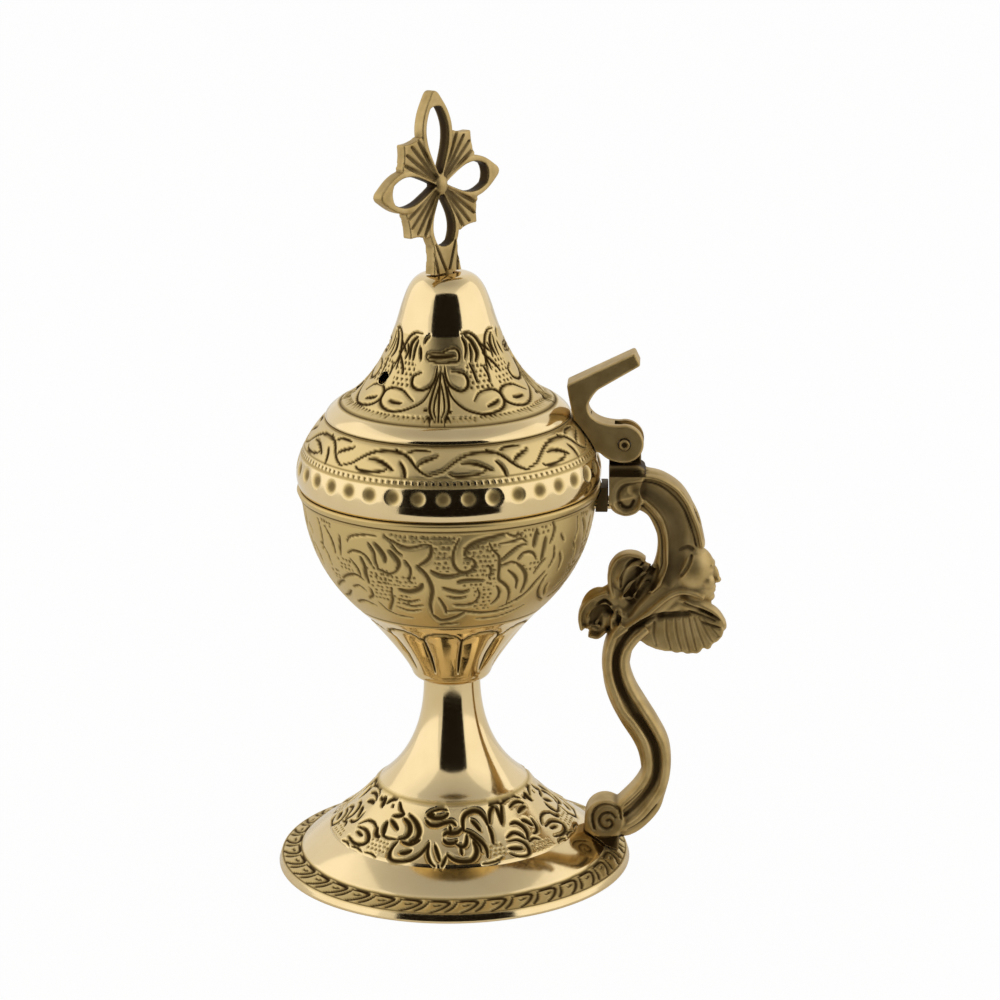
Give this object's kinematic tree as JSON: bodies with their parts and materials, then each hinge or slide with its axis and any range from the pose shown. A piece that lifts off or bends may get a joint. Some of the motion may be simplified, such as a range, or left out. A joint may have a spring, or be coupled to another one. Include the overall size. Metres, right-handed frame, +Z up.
{
  "type": "incense censer",
  "caption": "Stemmed incense burner with a round bowl, a hinged bell-shaped lid topped by an openwork cross, and a scroll handle with a thumb lever.",
  "frame": {"origin": "the middle of the footprint of foot and handle, at the level that the foot stands on", "axes": "+Z up along the stem, +X towards the handle, +Y to the left seen from the handle; the hinge pin lies along Y"},
  "size_m": [0.1028, 0.0806, 0.1779],
  "materials": {
    "polished_brass": "turned and polished, engraved bands darkened in the cuts",
    "antique_brass": "cast, darkened in the recesses and rubbed bright on the ridges",
    "zinc_steel": "zinc plated"
  },
  "bodies": {
    "base": {"foot": "polished_brass", "bowl": "polished_brass", "charcoal_pan": "polished_brass", "tie_screw": "zinc_steel", "tie_washer": "zinc_steel", "tie_nut": "zinc_steel", "handle": "antique_brass", "handle_saddle": "antique_brass", "handle_rivet_front": "polished_brass", "handle_rivet_rear": "polished_brass", "handle_screw": "zinc_steel", "handle_washer": "zinc_steel", "hinge_pin": "antique_brass"},
    "lid": {"lid": "polished_brass", "finial_cross": "antique_brass", "finial_washer": "zinc_steel", "finial_nut": "zinc_steel", "lever": "antique_brass", "lever_rivet_lower": "polished_brass", "lever_rivet_upper": "polished_brass"}
  },
  "joints": [
    {"name": "lid_hinge", "type": "hinge", "parent": "base", "child": "lid", "pos_m": [0.02809, 0, 0.0991], "axis": [0, 1, 0], "range_deg": [0, 110]}
  ]
}
